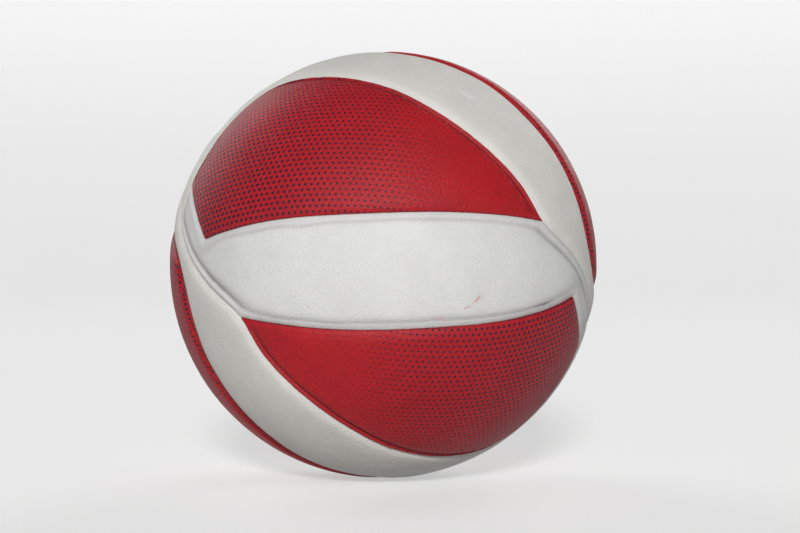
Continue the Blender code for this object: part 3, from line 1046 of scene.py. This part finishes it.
# Each layer: its name, its CAD node, its finish, its outer radius and its thickness.
LAYERS = (
    ("carcass", "rubber_layer", "carcass_rubber", 0.1012, 0.0007),
    ("winding", "thread_winding", "nylon_thread", 0.1002, 0.0007),
    ("inner_bladder", "bladder", "butyl_rubber", 0.0992, 0.0010),
)
finishes = {
    "carcass_rubber": rubber_finish(
        "carcass_rubber", (0.030, 0.030, 0.032), roughness=0.70, bloom=0.30
    ),
    "nylon_thread": thread_finish(),
    "butyl_rubber": rubber_finish(
        "butyl_rubber", (0.022, 0.021, 0.020), roughness=0.50, bloom=0.15
    ),
}
for name, stands_for, finish, outer, thickness in LAYERS:
    mesh = turned_mesh(name, shell_profile(outer, thickness), closed=False)
    add_piece(name, mesh, finishes[finish], stands_for)
    print(name, len(mesh.polygons), "faces")

# %% [markdown]
# ## Valve
#
# The needle goes in through a soft plug in a rubber boss, which is seen as two dark rings in the
# far panel. Both are turned: a profile with rounded corners is carried round the valve's axis. A
# corner is rounded with a quadratic Bezier curve, which needs only the corner and a point on each
# side of it.

# %% Valve
def rounded(corners, radius, steps=6):
    """A closed profile whose corners are Bezier curves.

    A curve is (1 - t)^2 before + 2 t (1 - t) corner + t^2 after.
    """
    corners = np.array(corners)
    before = corners + radius * unit(np.roll(corners, 1, axis=0) - corners)
    after = corners + radius * unit(np.roll(corners, -1, axis=0) - corners)
    t = np.linspace(0, 1, steps + 1)[None, :, None]
    curves = (1 - t) ** 2 * before[:, None] + 2 * t * (1 - t) * corners[:, None]
    return (curves + t**2 * after[:, None]).reshape(-1, 2)


# Corners of each profile: the radius and the place along the valve's axis, in metres.
bottom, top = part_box("valve_seat")[0][1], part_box("valve_seat")[1][1]
seat = rounded((
    (0.0023, bottom), (0.0110, bottom), (0.0110, bottom + 0.0012), (0.0055, bottom + 0.0016),
    (0.0055, top), (0.0048, top), (0.0045, top - 0.0003), (0.0040, top - 0.0003),
    (0.0037, top), (0.0033, top), (0.0033, bottom + 0.0012), (0.0023, bottom + 0.0012),
), radius=0.00014)
low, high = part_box("valve_core")[0][1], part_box("valve_core")[1][1]
core = rounded((
    (0.0009, low), (0.0030, low), (0.0030, high - 0.0004),
    (0.0024, high), (0.0020, high), (0.0009, high - 0.0011),
), radius=0.0002)
valve_rubber = rubber_finish(
    "valve_rubber", (0.034, 0.034, 0.036), roughness=0.52, bloom=0.25
)
for name, profile in (("valve_seat", seat), ("valve_core", core)):
    mesh = turned_mesh(name.replace("valve_", "rubber_"), profile, turns=96)
    add_piece(mesh.name, mesh, valve_rubber, name)
    print(mesh.name, len(mesh.polygons), "faces")

# %% [markdown]
# ## Floor and light
#
# The stage is a wide pale dish: flat where the ball stands and rising all round, so that no
# horizon shows from any side. A little glow that only the camera and reflections see makes it
# paler and leaves its shadow. Three far lamps give the shape: one in front and a little above,
# two weaker ones behind. A far lamp is as bright at the edge of the stage as at the ball, so the
# paper is even from all sides. A pale surround fills the shadows.

# %% Floor and light
# Each lamp: its name, degrees round from the front, degrees up, degrees wide and strength.
LAMPS = (
    ("key", -5, 22, 10, 2.75),
    ("back_left", -150, 25, 30, 0.9),
    ("back_right", 150, 25, 30, 0.9),
)
# The dish is flat to a radius and then rises over a width to a height, in metres.
FLAT_RADIUS = 2
RISE_WIDTH = 2.5
RISE_HEIGHT = 1.1
PAPER = (0.50, 0.50, 0.50, 1)
PAPER_GLOW = 0.48
SURROUND = 0.05


def dish():
    """From the rim inwards: a quarter ellipse down to the floor, then flat."""
    rise = np.linspace(math.pi / 2, 0, 25)
    radius = np.concatenate((FLAT_RADIUS + RISE_WIDTH * np.sin(rise), (1.0, 0.5, 0.0)))
    height = np.concatenate((RISE_HEIGHT * (1 - np.cos(rise)), (0, 0, 0)))
    return np.stack((radius, height - BALL), axis=-1)


def paper_finish():
    """Pale paper, with a glow for camera, glossy and transmission rays alone."""
    material, tree, shader, _ = new_material("stage_paper")
    shader.inputs["Base Color"].default_value = PAPER
    shader.inputs["Roughness"].default_value = 0.9
    shader.inputs["Specular IOR Level"].default_value = 0.1
    path = node(tree, "LightPath")
    seen = maths(tree, "MAXIMUM", path["Is Camera Ray"], path["Is Glossy Ray"])
    seen = maths(tree, "MAXIMUM", seen, path["Is Transmission Ray"])
    glow = node(tree, "Emission", Strength=maths(tree, "MULTIPLY", seen, PAPER_GLOW))[0]
    both = node(tree, "AddShader", i0=shader.outputs[0], i1=glow)[0]
    tree.links.new(both, tree.nodes["Material Output"].inputs["Surface"])
    return material


floor = bpy.data.objects.new("floor", turned_mesh("floor", dish(), closed=False, axis="Z"))
floor.data.materials.append(paper_finish())
scene.collection.objects.link(floor)

for name, side, height, width, strength in LAMPS:
    lamp = bpy.data.lights.new(name, "SUN")
    lamp.angle = math.radians(width)
    lamp.energy = strength
    light = bpy.data.objects.new(name, lamp)
    light.rotation_euler = (math.radians(90 - height), 0, math.radians(side))
    scene.collection.objects.link(light)
    print(name, "lamp", side, "degrees round from the front and", height, "degrees up")

world = bpy.data.worlds.new("studio")
world.use_nodes = True
background = world.node_tree.nodes["Background"]
background.inputs["Color"].default_value = (1, 1, 1, 1)
background.inputs["Strength"].default_value = SURROUND
scene.world = world
